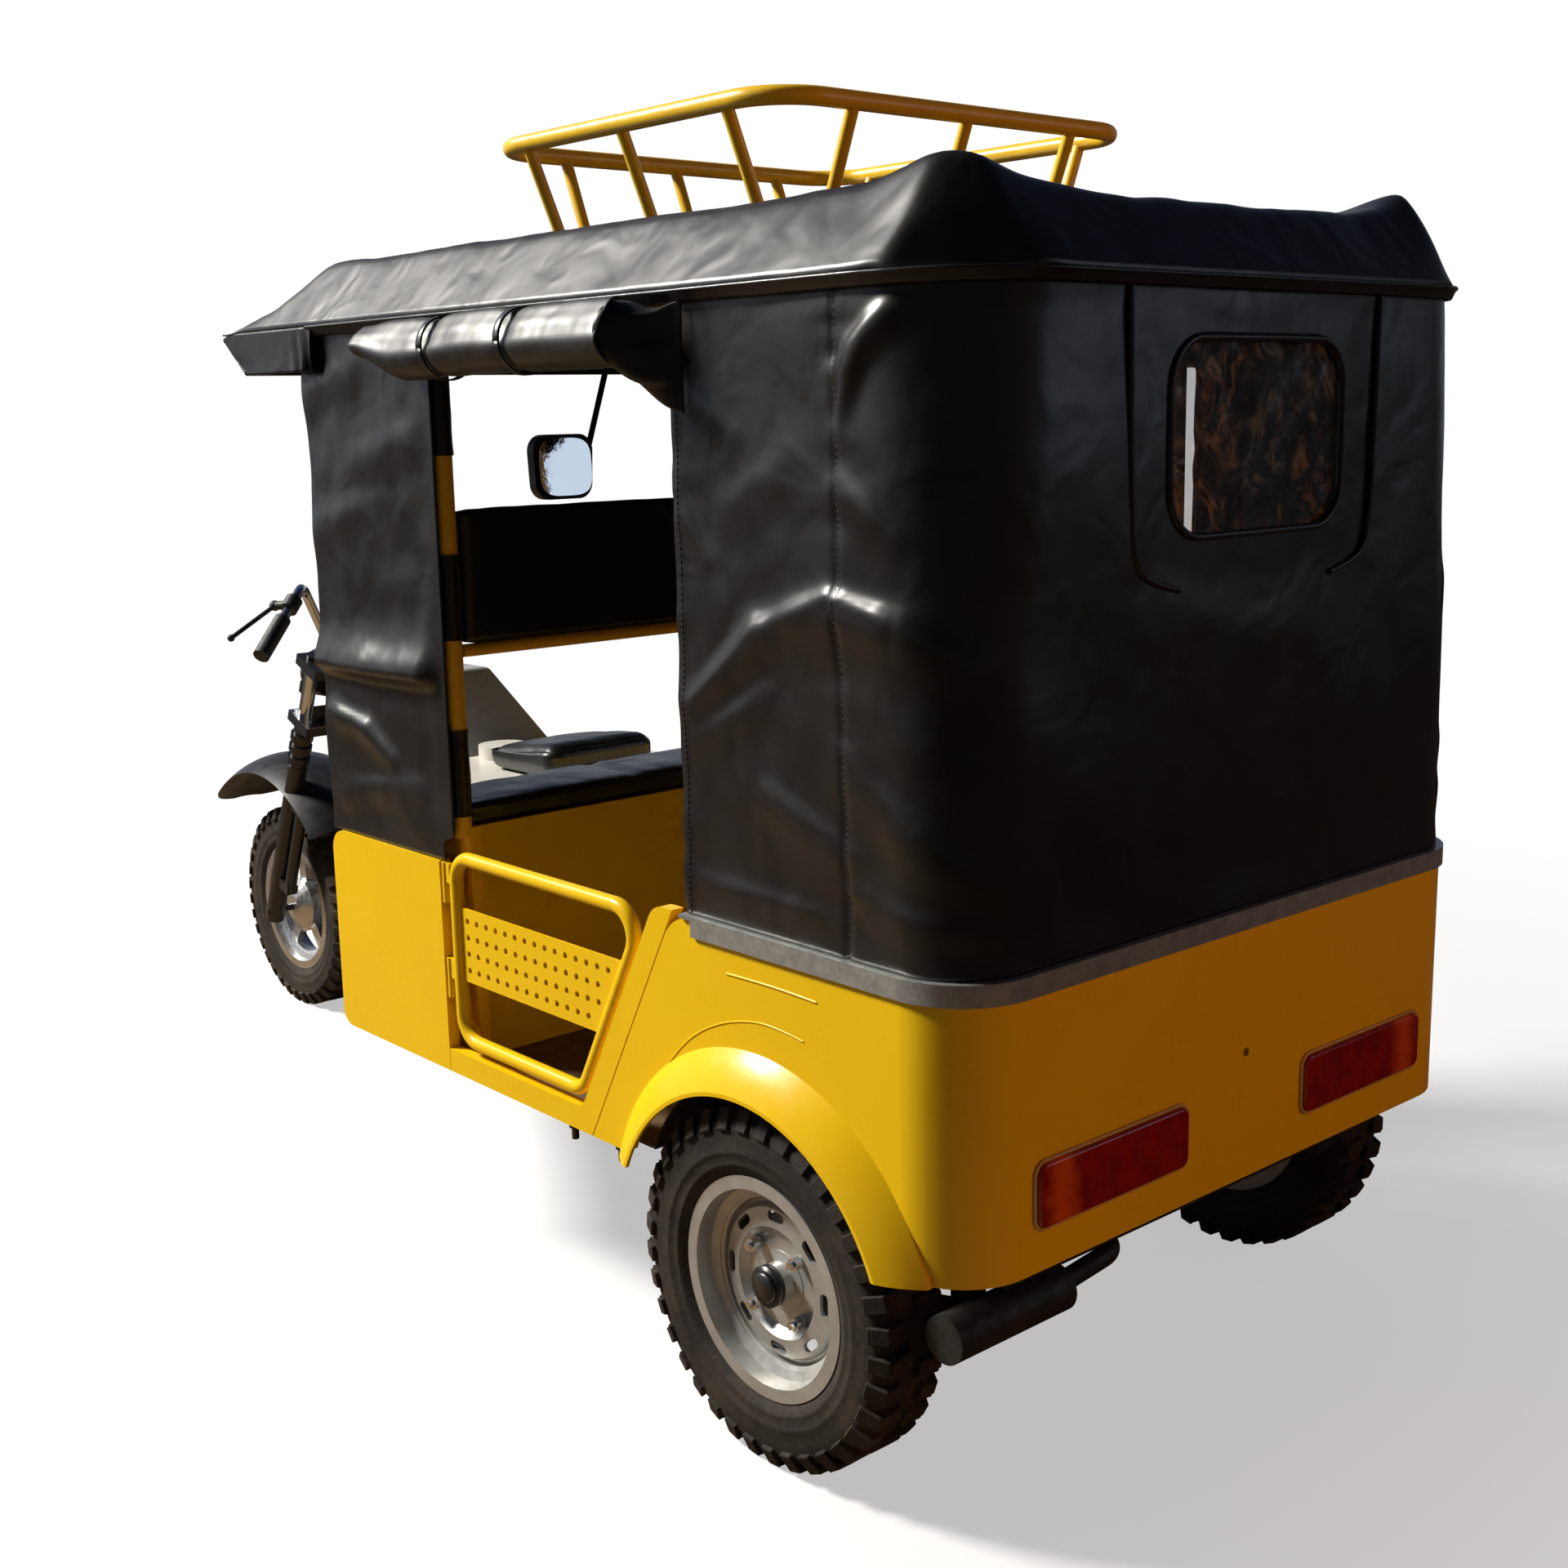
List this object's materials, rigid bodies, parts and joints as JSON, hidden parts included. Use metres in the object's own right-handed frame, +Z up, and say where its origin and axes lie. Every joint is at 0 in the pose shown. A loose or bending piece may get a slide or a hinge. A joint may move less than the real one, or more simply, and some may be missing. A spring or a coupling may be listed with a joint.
{
  "type": "auto rickshaw",
  "caption": "Three-wheeled passenger auto rickshaw with a yellow steel tub, black vinyl hood, rolled curtains, perforated side gates, roof rack and a motorcycle-type front fork.",
  "frame": {"origin": "on the ground under the middle of the whole box", "axes": "+X forward, +Y to the left, +Z up"},
  "size_m": [3.2664, 1.3958, 1.959],
  "materials": {
    "yellow_paint": "glossy golden yellow",
    "black_vinyl": "glossy black coated vinyl",
    "galvanised": "galvanised",
    "clear_film": "clear soft film",
    "lamp_red": "dark red lens",
    "lamp_clear": "black shell with clear lens",
    "chassis_black": "satin black",
    "floor_steel": "grey sheet",
    "rim_silver": "silver paint",
    "alloy": "cast",
    "tyre_rubber": "dusty rubber",
    "engine_alloy": "cast",
    "cover_cream": "cream paint",
    "cowl_grey": "grey",
    "fork_black": "gloss black",
    "bar_chrome": "polished",
    "grip_rubber": "matte",
    "fender_black": "glossy",
    "mirror_black": "black shell"
  },
  "bodies": {
    "body": {"rear_tub": "yellow_paint", "side_sills": "yellow_paint", "front_panels": "yellow_paint", "front_box": "yellow_paint", "rear_seat_box": "yellow_paint", "roof_rack": "yellow_paint", "canopy_frame": "yellow_paint", "roof_canopy": "black_vinyl", "rear_curtain": "black_vinyl", "front_curtains": "black_vinyl", "curtain_rolls": "black_vinyl", "front_backrest": "black_vinyl", "front_box_pad": "black_vinyl", "rear_bench_cushion": "black_vinyl", "rear_backrest": "black_vinyl", "driver_saddle": "black_vinyl", "trim_strip": "galvanised", "rear_window": "clear_film", "tail_lamps": "lamp_red", "chassis_rails": "chassis_black", "neck_frame": "chassis_black", "rear_axle": "chassis_black", "leaf_springs": "chassis_black", "drive_shaft": "chassis_black", "exhaust": "chassis_black", "wheel_housings": "chassis_black", "floor_pan": "floor_steel", "engine": "engine_alloy", "engine_cover": "cover_cream", "front_cowl": "cowl_grey", "cab_mirror": "mirror_black"},
    "steering": {"fork": "fork_black", "handlebar": "bar_chrome", "grips": "grip_rubber", "front_fender": "fender_black", "headlamp": "lamp_clear"},
    "front_wheel": {"front_rim": "alloy", "front_tyre": "tyre_rubber"},
    "rear_left_wheel": {"rear_rim_left": "rim_silver", "rear_tyre_left": "tyre_rubber"},
    "rear_right_wheel": {"rear_rim_right": "rim_silver", "rear_tyre_right": "tyre_rubber"},
    "gate_left": {"gate_frame_left": "yellow_paint", "gate_plate_left": "yellow_paint"},
    "gate_right": {"gate_frame_right": "yellow_paint", "gate_plate_right": "yellow_paint"}
  },
  "joints": [
    {"name": "steer", "type": "hinge", "parent": "body", "child": "steering", "pos_m": [1.01938, 0, 0.84198], "axis": [-0.4067, 0, 0.9135], "range_deg": [-40, 40]},
    {"name": "front_wheel_spin", "type": "hinge", "parent": "steering", "child": "front_wheel", "pos_m": [1.31482, 0, 0.262], "axis": [0, 1, 0], "continuous": true},
    {"name": "rear_left_spin", "type": "hinge", "parent": "body", "child": "rear_left_wheel", "pos_m": [-1.21518, 0.548, 0.268], "axis": [0, 1, 0], "continuous": true},
    {"name": "rear_right_spin", "type": "hinge", "parent": "body", "child": "rear_right_wheel", "pos_m": [-1.21518, -0.548, 0.268], "axis": [0, 1, 0], "continuous": true},
    {"name": "gate_left_swing", "type": "hinge", "parent": "body", "child": "gate_left", "pos_m": [-0.39018, 0.588, 0.6], "axis": [0, 0, -1], "range_deg": [0, 100]},
    {"name": "gate_right_swing", "type": "hinge", "parent": "body", "child": "gate_right", "pos_m": [-0.39018, -0.588, 0.6], "axis": [0, 0, 1], "range_deg": [0, 100]}
  ]
}
